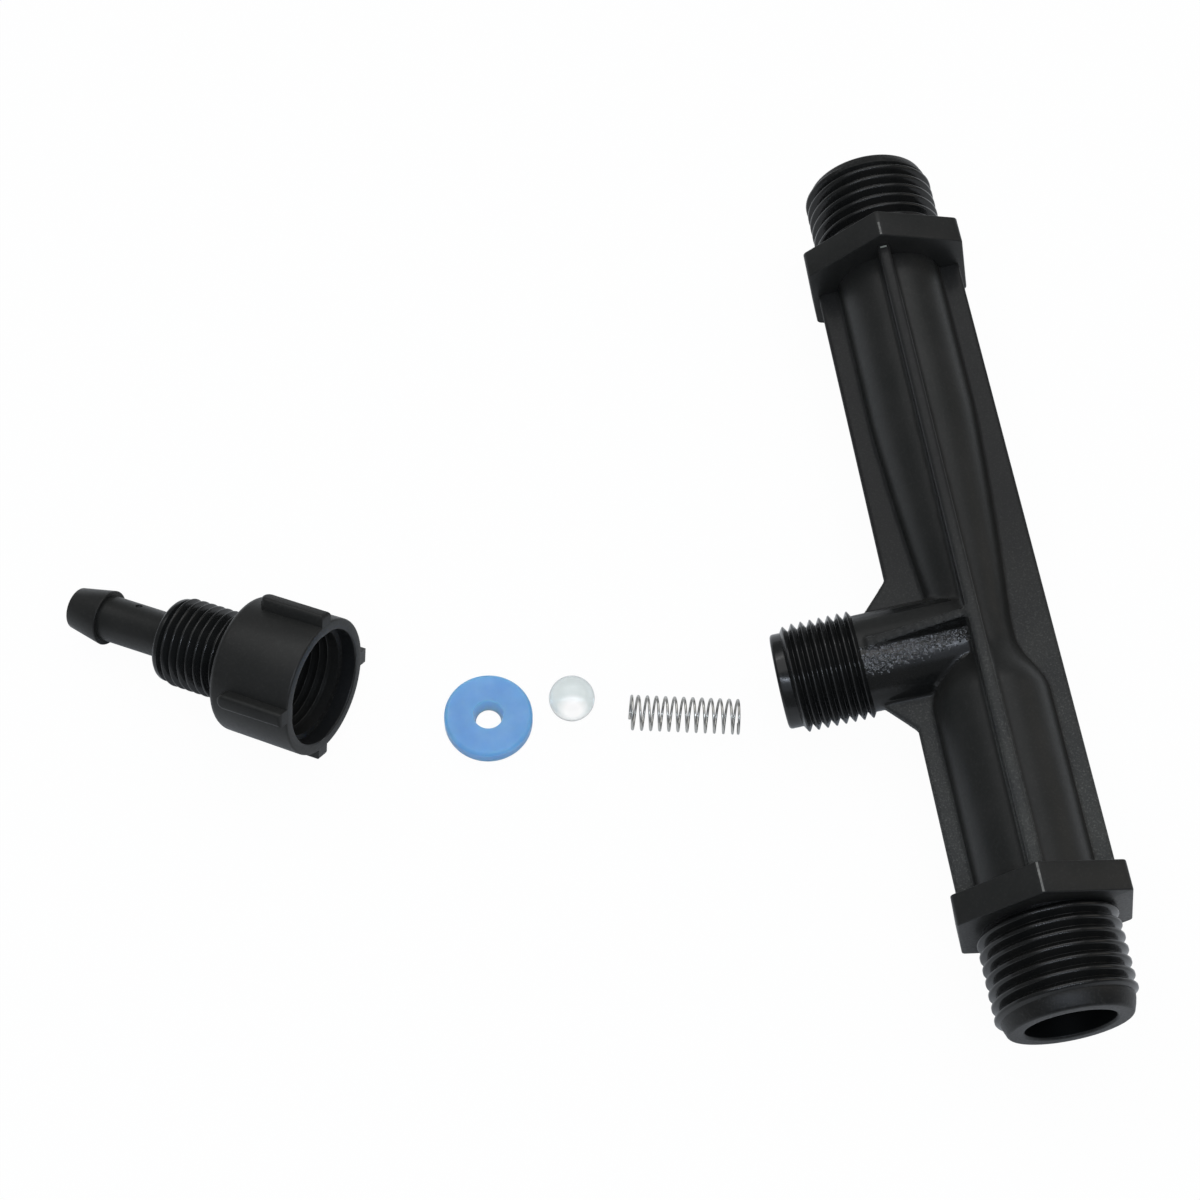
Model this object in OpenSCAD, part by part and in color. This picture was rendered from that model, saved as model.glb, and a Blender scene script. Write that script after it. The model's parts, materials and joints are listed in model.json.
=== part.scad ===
// Venturi fertilizer injector, taken apart: the moulded tee, and beside its suction port the
// valve spring, the check ball, the seal washer and the suction connector, each lying as it rests.
// Millimetres, +Z up. The water runs along +Y, and the suction port points along -X.

/* [Pipe ends] */
// Distance from the port axis to the inlet flange's inner face
inlet_run = 40.5; // [32:0.5:60]
// Distance from the port axis to the outlet flange's inner face
outlet_run = 64.7; // [50:0.5:90]
// Hexagon flange, across the flats
hex_flats = 25; // [24:0.5:32]
// Hexagon flange, depth by which its corners are rounded off
hex_corner_cut = 0.13; // [0.05:0.01:0.5]
// Hexagon flange, thickness
hex_t = 4.6; // [3:0.2:8]
// Pipe thread, outside diameter
pipe_thread_d = 20.7; // [19.5:0.05:22]
// Pipe thread, length
pipe_thread_len = 13; // [8:0.1:16]
// Plain nose ahead of the pipe thread, length
pipe_nose_len = 2.2; // [1:0.1:5]
// Plain nose, diameter at the thread
pipe_nose_d = 19.2; // [18:0.1:19.6]
// Taper of the nose, on its diameter
pipe_nose_taper = 1.4; // [0.4:0.1:2]
// Bore of the two pipe ends
pipe_bore = 13.06; // [10:0.02:14]
// Rounding of the nose and of the bores' mouths
nose_round = 0.5; // [0.2:0.1:0.8]

/* [Venturi tube] */
// Outside diameter of the inlet tube
inlet_tube_d = 17.5; // [16.5:0.1:19]
// Outside diameter of the outlet tube
outlet_tube_d = 16.6; // [16:0.1:19]
// Outside diameter of the waist
waist_d = 11.3; // [9:0.1:13]
// Length of the straight waist
waist_len = 3; // [1:0.1:6]
// Length of the tube's flare on the inlet side
inlet_flare = 9.6; // [6:0.1:16]
// Length of the tube's flare on the outlet side
outlet_flare = 37; // [25:0.5:48]
// Belly of the outlet flare, 0 for a straight cone
flare_belly = 0.4; // [0:0.05:0.6]
// Bore of the throat
throat_bore = 4.8; // [3:0.1:6]
// Length of the straight throat bore
throat_len = 5; // [3:0.5:8]
// Length of the converging cone in the bore
nozzle_len = 9; // [6:0.5:16]
// Length of the diverging cone in the bore
diffuser_len = 46; // [30:1:48]

/* [Fins] */
// Fin thickness
fin_t = 1.9; // [1.2:0.1:3]
// Distance between the outer edges of opposite fins
fin_span = 23.1; // [21:0.1:24]

/* [Suction port] */
// Distance from the tube's axis to the port's end face
port_reach = 30.3; // [28:0.1:36]
// Port thread, outside diameter
port_thread_d = 16.6; // [16:0.05:17]
// Port thread, length
port_thread_len = 11.3; // [8:0.1:12]
// Lead at the front of the port thread, its length
port_thread_lead = 0.7; // [0.3:0.1:1.2]
// Plain nose ahead of the port thread, length
port_nose_len = 1.7; // [1:0.1:3]
// Plain nose, diameter
port_nose_d = 14.6; // [13:0.1:15]
// Neck behind the thread, diameter
port_neck_d = 15; // [14:0.1:15.6]
// Clearance of the ball in the port's bore, on the diameter
ball_clear = 1.6; // [0.6:0.1:2.5]
// Depth of that bore, down to the spring's shoulder
port_bore_depth = 20.8; // [16:0.1:22]
// Suction hole from the shoulder into the throat
suction_hole = 4; // [2:0.1:5]
// Gussets in the plane of the side fins: width each side of the port axis where they leave the fin
gusset_half = 12.4; // [9:0.1:18]
// Gussets: distance from their ends to the port's thread
gusset_clear = 0.9; // [0.3:0.1:3]
// Front and back ribs of the neck: thickness
rib_t = 1.4; // [1:0.1:3]
// Front and back ribs: distance from where they sink into the neck to the port's thread
rib_clear = 2; // [0.3:0.1:5]

/* [Check valve] */
// Spring, outside diameter
spring_d = 5.5; // [4.5:0.1:7]
// Spring, wire diameter
spring_wire = 0.45; // [0.3:0.05:0.8]
// Spring, pitch of the open coils
spring_pitch = 1.39; // [1:0.01:2]
// Spring, number of open coils
spring_coils = 11.5; // [6:0.5:16]
// Spring, closed coils at each end
spring_end_coils = 0.75; // [0.5:0.25:1.5]
// Ball diameter
ball_d = 7; // [6:0.1:8]
// Seal washer, outside diameter
washer_d = 13.7; // [12:0.1:14.5]
// Seal washer, hole
washer_hole = 4.6; // [3:0.1:6]
// Seal washer, thickness
washer_t = 3; // [2:0.1:4]
// Seal washer, rounding of its edges
washer_round = 0.4; // [0.2:0.1:0.9]

/* [Suction connector] */
// Cap, wall at the mouth, measured over its thread
cap_wall = 2.2; // [1.8:0.1:3.5]
// Draft of the cap, on its diameter from the mouth to the back
cap_draft = 0.3; // [0:0.1:0.8]
// Cap, length
cap_len = 13.9; // [12:0.1:18]
// Cap, thickness of its floor
cap_floor = 2.6; // [1.6:0.1:4]
// Cap, rounding of its back edge
cap_round = 1.2; // [0.5:0.1:2]
// Clearance of the cap's thread over the port's, on the diameter
cap_clear = 0.2; // [0.1:0.05:0.4]
// Recess at the cap's mouth, on the diameter over its thread
mouth_step = 0.9; // [0.4:0.1:1.4]
// Recess at the cap's mouth, depth
mouth_depth = 2; // [1:0.1:4]
// Grip ribs, number
grip_count = 4; // [3:1:6]
// Grip ribs, width
grip_w = 2.3; // [1:0.1:3]
// Grip ribs, height
grip_h = 1.3; // [0.5:0.1:1.6]
// Grip ribs, distance of their rounded ends from the cap's back
grip_back = 2.8; // [1.4:0.1:4]
// Grip ribs, turn about the cap's axis
grip_turn = 55.9; // [40:0.1:60]
// Hose nut's thread, outside diameter
hose_thread_d = 13.7; // [12:0.1:14]
// Hose nut's thread, length
hose_thread_len = 12.3; // [8:0.1:16]
// Chamfer at the front of that thread
hose_thread_lead = 1; // [0.5:0.1:1.5]
// Stem, diameter
stem_d = 7.1; // [6:0.1:8]
// Stem, length
stem_len = 11.7; // [8:0.1:16]
// Barb, diameter of its rim
barb_d = 8.6; // [8.1:0.1:10]
// Barb, diameter of its tip
barb_tip_d = 6.5; // [5.8:0.1:7]
// Barb, length
barb_len = 6.6; // [4:0.1:10]
// Bore of the stem
stem_bore = 4; // [2:0.1:5]

/* [Layout] */
// Gap between the port's end and the spring
spring_gap = 3.8; // [2:0.1:12]
// Gap between the spring and the ball
ball_gap = 4.3; // [2:0.1:12]
// Gap between the ball and the washer
washer_gap = 2.6; // [1.5:0.1:12]
// Gap between the washer and the connector's mouth
connector_gap = 10.2; // [4:0.1:20]
// Turn of the spring on the table
spring_turn = -10.7; // [-20:0.1:20]
// Turn of the connector on the table
connector_turn = -32.5; // [-45:0.1:-20]
// Place of the spring's middle along the water's run, from the port axis
spring_y = -1.2; // [-6:0.1:6]
// Place of the ball along the water's run, from the port axis
ball_y = 3.6; // [-6:0.1:6]
// Place of the washer along the water's run, from the port axis
washer_y = 3; // [-6:0.1:6]
// Place of the connector's mouth along the water's run, from the port axis
connector_y = 6.4; // [0:0.1:12]

/* [Hidden] */
$fn = 96;
curve_steps = 12;
wire_sides = 6;
coil_steps = 20;
overlap = 0.5;
rib_sink = 0.2;
black = "#262727";

// Half-sizes and places along the tee's axis
hex_corner_r = hex_flats / 2 / cos(30) - hex_corner_cut;
pipe_end = hex_t + pipe_thread_len + pipe_nose_len;
nose_end_d = pipe_nose_d - pipe_nose_taper;
fin_r = fin_span / 2;
thread_front = port_reach - port_nose_len;
thread_back = thread_front - port_thread_len;
lead_start = thread_front - port_thread_lead;
gusset_reach = thread_back - gusset_clear;
rib_reach = thread_back - rib_clear;
port_bore = ball_d + ball_clear;

// The tee rests on a flange corner at each end and on the port's thread, where its lead starts.
// corner_off is the angle from a hexagon corner to the end of its rounding.
corner_off = 30 - acos(hex_flats / 2 / hex_corner_r);
roll = atan((hex_corner_r * cos(corner_off) - port_thread_d / 2) / (lead_start - hex_corner_r * sin(corner_off)));
body_lift = hex_corner_r * cos(roll - corner_off);

// Spring, along its own axis
coil_r = (spring_d - spring_wire) / 2;
closed_gap = 0.05;
coil_end_pitch = spring_wire + closed_gap;
coil_turns = spring_coils + 2 * spring_end_coils;
coil_len = spring_coils * spring_pitch + 2 * spring_end_coils * coil_end_pitch;
spring_half = (coil_len + spring_wire) / 2 * cos(spring_turn) + spring_d / 2 * abs(sin(spring_turn));

// Connector, along its own axis from the mouth
cap_bore = port_thread_d + cap_clear;
cap_d = cap_bore + 2 * cap_wall;
cap_back_d = cap_d - cap_draft;
stem_start = cap_len + hose_thread_len;
barb_start = stem_start + stem_len;
connector_len = barb_start + barb_len;

// The connector rests on the cap's rounded back edge and on the barb's rim or tip, which touches first.
// rest_tilt is the tilt that brings a circle of radius r, at x from the mouth, down to the table.
function rest_tilt(r, x) =
    let (rise = cap_back_d / 2 - cap_round - r, run = x - cap_len + cap_round)
    atan(rise / run) + asin(cap_round / norm([rise, run]));
connector_tilt = min(rest_tilt(barb_d / 2, barb_start), rest_tilt(barb_tip_d / 2, connector_len));
connector_lift = (cap_len - cap_round) * sin(connector_tilt)
    + (cap_back_d / 2 - cap_round) * cos(connector_tilt) + cap_round;

// Row of loose pieces, each worked out from the one before it
axis_x = cos(connector_tilt) * cos(connector_turn);
port_tip = port_reach * cos(roll) + port_thread_d / 2 * sin(roll);
spring_x = -port_tip - spring_gap - spring_half;
ball_x = spring_x - spring_half - ball_gap - ball_d / 2;
washer_x = ball_x - ball_d / 2 - washer_gap - washer_d / 2;
connector_x = washer_x - washer_d / 2 - connector_gap - (cap_d / 2 + grip_h) * sqrt(1 - axis_x * axis_x);

// The origin lies on the table, at the middle of the whole layout
left_end = connector_x - connector_len * axis_x - barb_tip_d / 2 * sqrt(1 - axis_x * axis_x);
right_end = hex_corner_r * cos(max(0, 30 - roll - corner_off));
middle_x = (left_end + right_end) / 2;
middle_y = (outlet_run - inlet_run) / 2;

// Radius of the tube's outside, a share u of the way along each flare
function inlet_r(u) = waist_d / 2 + (inlet_tube_d - waist_d) / 2 * (1 - cos(180 * u)) / 2;
function outlet_r(u) = waist_d / 2 + (outlet_tube_d - waist_d) / 2 * u * (1 + flare_belly - flare_belly * u);

// Distance along the spring after a number of turns: closed coils, open coils, closed coils
function coil_z(turns) =
    let (first = min(turns, spring_end_coils))
    let (open = max(0, min(turns - spring_end_coils, spring_coils)))
    let (last = max(0, turns - spring_end_coils - spring_coils))
    (first + last) * coil_end_pitch + open * spring_pitch;

// Solid of revolution about Z with rounded edges, from radius r1 to r2 and from z = 0 to h
module rounded_ring(r1, r2, h, edge) {
    rotate_extrude() {
        translate([r1 + edge, 0]) square([r2 - r1 - 2 * edge, h]);
        translate([r1, edge]) square([r2 - r1, h - 2 * edge]);
        for (r = [r1 + edge, r2 - edge], z = [edge, h - edge]) translate([r, z]) circle(edge);
    }
}

// Outside of the venturi tube, from flange to flange
module tube() {
    rotate_extrude() polygon(concat(
        [[0, -inlet_run - overlap], [inlet_tube_d / 2, -inlet_run - overlap]],
        [for (i = [curve_steps:-1:0]) [inlet_r(i / curve_steps), -waist_len / 2 - inlet_flare * i / curve_steps]],
        [for (i = [0:curve_steps]) [outlet_r(i / curve_steps), waist_len / 2 + outlet_flare * i / curve_steps]],
        [[outlet_tube_d / 2, outlet_run + overlap], [0, outlet_run + overlap]]
    ));
}

// Flange and threaded end, from the flange's inner face at z = 0 outwards
module pipe_spigot() {
    intersection() {
        rotate([0, 0, 30]) cylinder(d = hex_flats / cos(30), h = hex_t, $fn = 6);
        cylinder(r = hex_corner_r, h = hex_t);
    }
    cylinder(d = pipe_thread_d, h = hex_t + pipe_thread_len);
    rotate_extrude() {
        nose_z = hex_t + pipe_thread_len;
        polygon([
            [0, nose_z - overlap], [pipe_nose_d / 2, nose_z - overlap], [pipe_nose_d / 2, nose_z],
            [nose_end_d / 2, pipe_end - nose_round], [nose_end_d / 2 - nose_round, pipe_end], [0, pipe_end]
        ]);
    }
}

// Water way: two pipe bores, converging cone, throat and diffuser
module water_way() {
    inlet_end = -inlet_run - pipe_end;
    outlet_end = outlet_run + pipe_end;
    mouth_r = pipe_bore / 2 + nose_round;
    rotate_extrude() polygon([
        [0, inlet_end - overlap], [mouth_r + overlap, inlet_end - overlap], [pipe_bore / 2, inlet_end + nose_round],
        [pipe_bore / 2, -throat_len / 2 - nozzle_len], [throat_bore / 2, -throat_len / 2],
        [throat_bore / 2, throat_len / 2], [pipe_bore / 2, throat_len / 2 + diffuser_len],
        [pipe_bore / 2, outlet_end - nose_round], [mouth_r + overlap, outlet_end + overlap], [0, outlet_end + overlap]
    ]);
}

// Four fins from flange to flange
module fins() {
    for (turn = [0, 90]) rotate([0, 0, turn])
        translate([-fin_r, -fin_t / 2, -inlet_run - overlap])
            cube([fin_span, fin_t, inlet_run + outlet_run + 2 * overlap]);
}

// Neck, thread and nose of the suction port, along +Z from the tube's axis
module port() {
    cylinder(d = port_neck_d, h = thread_back + overlap);
    rotate_extrude() polygon([
        [0, thread_back], [port_thread_d / 2, thread_back], [port_thread_d / 2, lead_start],
        [port_nose_d / 2 + port_thread_lead / 2, thread_front], [port_nose_d / 2, thread_front],
        [port_nose_d / 2, port_reach - nose_round], [port_nose_d / 2 - nose_round, port_reach], [0, port_reach]
    ]);
}

// Webs that stiffen the port: two gussets along the side fin, and a rib in front and behind
module port_webs() {
    translate([0, fin_t / 2, 0]) rotate([90, 0, 0]) linear_extrude(fin_t) polygon([
        [0, -gusset_half], [-fin_r, -gusset_half], [-gusset_reach, -port_neck_d / 2 + overlap],
        [-gusset_reach, port_neck_d / 2 - overlap], [-fin_r, gusset_half], [0, gusset_half]
    ]);
    translate([0, 0, -rib_t / 2]) linear_extrude(rib_t) polygon([
        [0, -fin_r], [0, fin_r], [-rib_reach, port_neck_d / 2 - rib_sink], [-rib_reach, -port_neck_d / 2 + rib_sink]
    ]);
}

// Bore for the spring and the ball, and the hole from its shoulder into the throat
module suction_way() {
    cylinder(d = suction_hole, h = port_reach);
    translate([0, 0, port_reach - port_bore_depth]) cylinder(d = port_bore, h = port_bore_depth + overlap);
}

// The tee, its axis along Z
module tee() {
    difference() {
        union() {
            tube();
            translate([0, 0, outlet_run]) pipe_spigot();
            translate([0, 0, -inlet_run]) mirror([0, 0, 1]) pipe_spigot();
            fins();
            rotate([0, -90, 0]) port();
            port_webs();
        }
        water_way();
        rotate([0, -90, 0]) suction_way();
    }
}

// Puts the pieces' common reference, the port axis over the table, at its place in the layout
module on_table(x, y, z) {
    translate([x - middle_x, y - middle_y, z]) children();
}

module injector_body() {
    color(black) on_table(0, 0, body_lift) rotate([0, -roll, 0]) rotate([-90, 0, 0]) tee();
}

// Wire swept along the coil, as rings of points joined by quads and closed by two end faces
module coil() {
    rings = ceil(coil_turns * coil_steps);
    points = [for (i = [0:rings], j = [0:wire_sides - 1])
        let (turns = coil_turns * i / rings, side = 360 * j / wire_sides)
        let (r = coil_r + spring_wire / 2 * cos(side))
        [r * cos(360 * turns), r * sin(360 * turns), coil_z(turns) + spring_wire / 2 * sin(side)]];
    sides = [for (i = [0:rings - 1], j = [0:wire_sides - 1])
        let (k = (j + 1) % wire_sides)
        [i * wire_sides + j, i * wire_sides + k, (i + 1) * wire_sides + k, (i + 1) * wire_sides + j]];
    start = [for (j = [wire_sides - 1:-1:0]) j];
    finish = [for (j = [0:wire_sides - 1]) rings * wire_sides + j];
    polyhedron(points, concat(sides, [start, finish]));
}

module valve_spring() {
    color("#8d8f90") on_table(spring_x, spring_y, spring_d / 2) rotate([0, 0, spring_turn])
        rotate([0, 90, 0]) translate([0, 0, -coil_len / 2]) coil();
}

module check_ball() {
    color("#b9c4bd") on_table(ball_x, ball_y, ball_d / 2) sphere(d = ball_d);
}

module seal_washer() {
    color("#739fd6") on_table(washer_x, washer_y, 0)
        rounded_ring(washer_hole / 2, washer_d / 2, washer_t, washer_round);
}

// Ribs that the fingers grip, flush with the mouth and rounded towards the back
module grip_ribs() {
    grip_len = cap_len - grip_back - grip_w / 2;
    for (i = [0:grip_count - 1]) rotate([0, 0, grip_turn + 360 * i / grip_count])
        translate([cap_d / 2 - grip_h, 0, 0]) rotate([0, 90, 0]) linear_extrude(2 * grip_h) {
            translate([0, -grip_w / 2]) square([grip_len, grip_w]);
            translate([grip_len, 0]) circle(d = grip_w);
        }
}

// Outside of the connector, its mouth at z = 0 and its barb below
module connector_outside() {
    rotate_extrude() {
        polygon([
            [0, 0], [cap_d / 2, 0], [cap_back_d / 2, -cap_len + cap_round],
            [cap_back_d / 2 - cap_round, -cap_len], [0, -cap_len]
        ]);
        translate([cap_back_d / 2 - cap_round, -cap_len + cap_round]) circle(cap_round);
        polygon([
            [0, -cap_len + overlap], [hose_thread_d / 2, -cap_len + overlap],
            [hose_thread_d / 2, -stem_start + hose_thread_lead],
            [hose_thread_d / 2 - hose_thread_lead, -stem_start], [0, -stem_start]
        ]);
        polygon([
            [0, -stem_start + overlap], [stem_d / 2, -stem_start + overlap], [stem_d / 2, -barb_start],
            [barb_d / 2, -barb_start], [barb_tip_d / 2, -connector_len], [0, -connector_len]
        ]);
    }
    grip_ribs();
}

// Inside of the connector: mouth recess, threaded socket and bore
module connector_inside() {
    socket_depth = cap_len - cap_floor;
    translate([0, 0, -socket_depth]) cylinder(d = cap_bore, h = socket_depth + overlap);
    translate([0, 0, -mouth_depth]) cylinder(d = cap_bore + mouth_step, h = mouth_depth + overlap);
    translate([0, 0, -connector_len - overlap]) cylinder(d = stem_bore, h = connector_len + overlap);
}

module suction_connector() {
    color(black) on_table(connector_x, connector_y, connector_lift)
        rotate([0, 90 - connector_tilt, connector_turn])
            difference() {
                connector_outside();
                connector_inside();
            }
}

injector_body();
valve_spring();
check_ball();
seal_washer();
suction_connector();
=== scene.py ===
import json
import math

import bpy
from mathutils import Matrix, Vector


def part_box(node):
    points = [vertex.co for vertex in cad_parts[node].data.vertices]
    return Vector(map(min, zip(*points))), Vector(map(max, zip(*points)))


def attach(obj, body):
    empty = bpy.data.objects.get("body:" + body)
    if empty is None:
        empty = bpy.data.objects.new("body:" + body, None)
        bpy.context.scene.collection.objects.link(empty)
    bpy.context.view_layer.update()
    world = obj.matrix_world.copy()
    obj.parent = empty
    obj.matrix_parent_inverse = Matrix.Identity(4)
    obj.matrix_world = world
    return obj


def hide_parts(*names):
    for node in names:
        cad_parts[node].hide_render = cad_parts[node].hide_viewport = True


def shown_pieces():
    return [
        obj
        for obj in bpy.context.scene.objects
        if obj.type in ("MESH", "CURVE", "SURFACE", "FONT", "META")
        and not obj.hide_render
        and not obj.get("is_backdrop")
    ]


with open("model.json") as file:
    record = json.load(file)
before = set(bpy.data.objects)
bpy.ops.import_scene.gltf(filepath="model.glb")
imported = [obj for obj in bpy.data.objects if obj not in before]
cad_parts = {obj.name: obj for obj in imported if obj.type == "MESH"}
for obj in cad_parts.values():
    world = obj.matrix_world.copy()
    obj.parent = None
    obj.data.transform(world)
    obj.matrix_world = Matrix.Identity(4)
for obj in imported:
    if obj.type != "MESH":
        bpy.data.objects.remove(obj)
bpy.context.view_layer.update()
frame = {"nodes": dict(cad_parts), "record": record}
mounts = {mount["name"]: mount for mount in frame["record"]["mounts"]}
mm = 0.001  # sizes below are in millimetres, the scene is in metres
turn = 2 * math.pi
weld = 0.0005 * mm  # points nearer than this are merged
past = 1  # mm, a cutter reaches this far past what it cuts
near = 0.02  # mm, slack for edges and faces that are picked by their place
roundSteps, fineSteps = 96, 128  # faces round a turned piece
print("frame loaded:", len(frame["nodes"]), "solids")


# hand tools used by every piece

def deselectAll():
    if bpy.context.object and bpy.context.object.mode != "OBJECT":
        bpy.ops.object.mode_set(mode="OBJECT")
    bpy.ops.object.select_all(action="DESELECT")


def pick(piece, *others):
    deselectAll()
    for item in (piece, *others):
        item.select_set(True)
    bpy.context.view_layer.objects.active = piece


def drawLine(name, points):
    # a plane merged to one vertex, then pulled out from point to point
    deselectAll()
    bpy.ops.mesh.primitive_plane_add(size=mm)
    piece = bpy.context.object
    piece.name = name
    bpy.ops.object.mode_set(mode="EDIT")
    bpy.ops.mesh.select_mode(type="VERT")
    bpy.ops.mesh.select_all(action="SELECT")
    bpy.ops.mesh.merge(type="CENTER")
    spots = [Vector(point) * mm for point in points]
    bpy.ops.transform.translate(value=spots[0])
    for here, there in zip(spots, spots[1:]):
        bpy.ops.mesh.extrude_region_move(TRANSFORM_OT_translate={"value": there - here})
    return piece


def closeUp():
    # in edit mode: merge the seam and turn the faces outwards
    bpy.ops.mesh.select_all(action="SELECT")
    bpy.ops.mesh.remove_doubles(threshold=weld)
    bpy.ops.mesh.normals_make_consistent(inside=False)
    bpy.ops.object.mode_set(mode="OBJECT")


def turnedPiece(name, profile, steps=roundSteps):
    # profile is (radius, height) about Z
    piece = drawLine(name, [(radius, 0, height) for radius, height in profile])
    bpy.ops.mesh.select_all(action="SELECT")
    bpy.ops.mesh.spin(steps=steps, angle=turn, center=(0, 0, 0), axis=(0, 0, 1))
    closeUp()
    return piece


def plate(name, outline, thickness):
    # a closed outline filled, then extruded along the thickness vector
    piece = drawLine(name, [*outline, outline[0]])
    bpy.ops.mesh.select_all(action="SELECT")
    bpy.ops.mesh.remove_doubles(threshold=weld)
    bpy.ops.mesh.edge_face_add()
    bpy.ops.mesh.extrude_region_move(TRANSFORM_OT_translate={"value": Vector(thickness) * mm})
    closeUp()
    return piece


def applyModifier(piece, kind, **settings):
    pick(piece)
    bpy.ops.object.modifier_add(type=kind)
    modifier = piece.modifiers[-1]
    for setting, value in settings.items():
        setattr(modifier, setting, value)
    bpy.ops.object.modifier_apply(modifier=modifier.name)


def cutAway(piece, cutter):
    applyModifier(piece, "BOOLEAN", operation="DIFFERENCE", object=cutter, solver="EXACT")
    bpy.data.objects.remove(cutter)


def joinUp(piece, *others):
    pick(piece, *others)
    bpy.ops.object.join()


def settle(piece, matrix):
    # the place goes into the mesh, the object stays at the origin
    piece.matrix_world = matrix
    pick(piece)
    bpy.ops.object.transform_apply(location=True, rotation=True, scale=True)


def smoothShade(piece, angle):
    pick(piece)
    bpy.ops.object.shade_smooth_by_angle(angle=math.radians(angle))


def bevelEdges(piece, chosen, width, segments):
    # chosen(start, end) says by their place in mm which edges are rounded
    pick(piece)
    bpy.ops.object.mode_set(mode="EDIT")
    bpy.ops.mesh.select_mode(type="EDGE")
    bpy.ops.mesh.select_all(action="DESELECT")
    bpy.ops.object.mode_set(mode="OBJECT")
    corners = piece.data.vertices
    for edge in piece.data.edges:
        start, end = (corners[i].co / mm for i in edge.vertices)
        edge.select = bool(chosen(start, end))
    bpy.ops.object.mode_set(mode="EDIT")
    bpy.ops.mesh.bevel(offset=width * mm, segments=segments, affect="EDGES", profile=0.5)
    bpy.ops.object.mode_set(mode="OBJECT")


def arc(centre, radius, start, end, steps=5):
    # points of a rounded edge in a (radius, height) profile, angles in degrees
    angles = [math.radians(start + (end - start) * i / steps) for i in range(steps + 1)]
    return [(centre[0] + radius * math.cos(a), centre[1] + radius * math.sin(a)) for a in angles]


def threadRidge(name, size):
    # one tooth drawn at the start of the thread, wound up by Screw, its ends sunk into the core
    root, crest, pitch = size["root"], size["crest"], size["pitch"]
    flat = size["flat"] / 2
    soft = size["soft"]
    lift = 1 if crest > root else -1
    foot = 0.495 * pitch  # just under half a pitch, so that one turn doesn't touch the next
    rounding = ((1.6, 1.0), (0.5, 0.35), (0, -0.3))  # drop and reach of the crest's edge, times soft
    rising = [(crest - drop * soft * lift, -flat - reach * soft) for drop, reach in rounding]
    falling = [(r, -z) for r, z in reversed(rising)]
    tooth = [(root, -foot), *rising, *falling, (root, foot)]
    ridge = drawLine(name, [(r, 0, size["start"] + z) for r, z in [*tooth, tooth[0]]])
    bpy.ops.mesh.select_all(action="SELECT")
    bpy.ops.mesh.remove_doubles(threshold=weld)
    bpy.ops.object.mode_set(mode="OBJECT")
    turns = size["turns"]
    steps = math.ceil(roundSteps * turns)
    count = len(ridge.data.vertices)
    applyModifier(
        ridge, "SCREW", axis="Z", angle=turn * turns, screw_offset=pitch * turns * mm, iterations=1,
        steps=steps, render_steps=steps, use_merge_vertices=False,
    )
    for vertex in ridge.data.vertices:
        done = turns * (vertex.index // count) / steps  # turns from the start
        rise = min(1, done / size["runIn"], max(0, turns - done) / size["runOut"])
        rise = rise * rise * (3 - 2 * rise)  # eased at both ends
        radius = math.hypot(vertex.co.x, vertex.co.y) / mm
        wanted = root + (radius - root) * rise - lift * size["sunk"] * (1 - rise)
        vertex.co.x *= wanted / radius
        vertex.co.y *= wanted / radius
    pick(ridge)
    bpy.ops.object.mode_set(mode="EDIT")
    bpy.ops.mesh.select_all(action="SELECT")
    bpy.ops.mesh.fill_holes(sides=0)
    closeUp()
    return ridge


# materials

def hexLinear(code):
    # sRGB hex to linear, opaque
    parts = [int(code[i:i + 2], 16) / 255 for i in (1, 3, 5)]
    return (*[p / 12.92 if p <= 0.04045 else ((p + 0.055) / 1.055) ** 2.4 for p in parts], 1.0)


def addNode(tree, kind, values=None, links=None, **options):
    node = tree.nodes.new(kind)
    for option, value in options.items():
        setattr(node, option, value)
    for socket, value in (values or {}).items():
        node.inputs[socket].default_value = value
    for socket, source in (links or {}).items():
        tree.links.new(source, node.inputs[socket])
    return node


def newMaterial(name):
    material = bpy.data.materials.new(name)
    material.use_nodes = True
    tree = material.node_tree
    return material, tree, tree.nodes["Principled BSDF"]


plastic = {  # what every finish of the black plastic shares, lengths in mm
    "ior": 1.49, "noise": (0.3, 0.7), "glintNoise": (0.52, 0.72), "paintedGlintTone": "#8b8b86",
    "farEndTone": "#1b1b1b", "falloffFrom": -40, "falloffTo": 8, "smoother": 0.05, "rougher": 0.06,
}


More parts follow.
